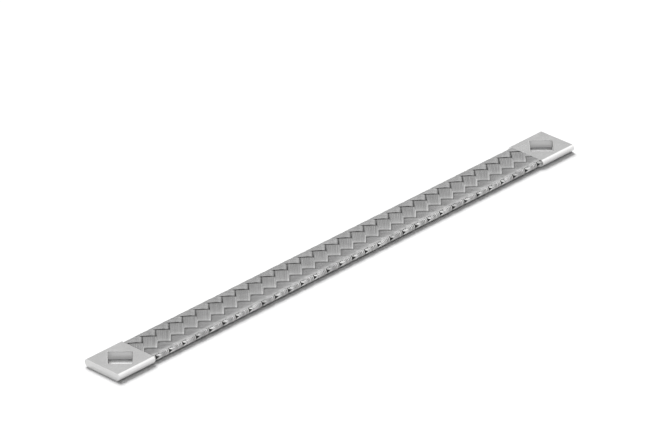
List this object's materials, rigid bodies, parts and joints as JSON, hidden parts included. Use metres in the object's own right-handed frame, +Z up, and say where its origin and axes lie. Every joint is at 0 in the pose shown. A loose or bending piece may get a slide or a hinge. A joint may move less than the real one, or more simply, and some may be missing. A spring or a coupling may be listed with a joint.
{
  "type": "flexible busbar braid",
  "caption": "Flat flexible link of woven tinned copper strands, with a pressed solid palm and a square bolt hole at each end.",
  "frame": {"origin": "middle of the link's length and width, on the surface that it lies on", "axes": "+X along the link to the far palm, +Y across it to its far edge, +Z up from its underside"},
  "size_m": [0.3, 0.0216, 0.004],
  "materials": {
    "palm": "pressed tinned copper, smooth satin",
    "wire": "fine tinned copper wire, satin"
  },
  "bodies": {
    "root": {"palm_near": "palm", "palm_far": "palm", "strand_left_1": "wire", "strand_left_2": "wire", "strand_left_3": "wire", "strand_left_4": "wire", "strand_left_5": "wire", "strand_right_1": "wire", "strand_right_2": "wire", "strand_right_3": "wire", "strand_right_4": "wire", "strand_right_5": "wire"}
  },
  "joints": []
}
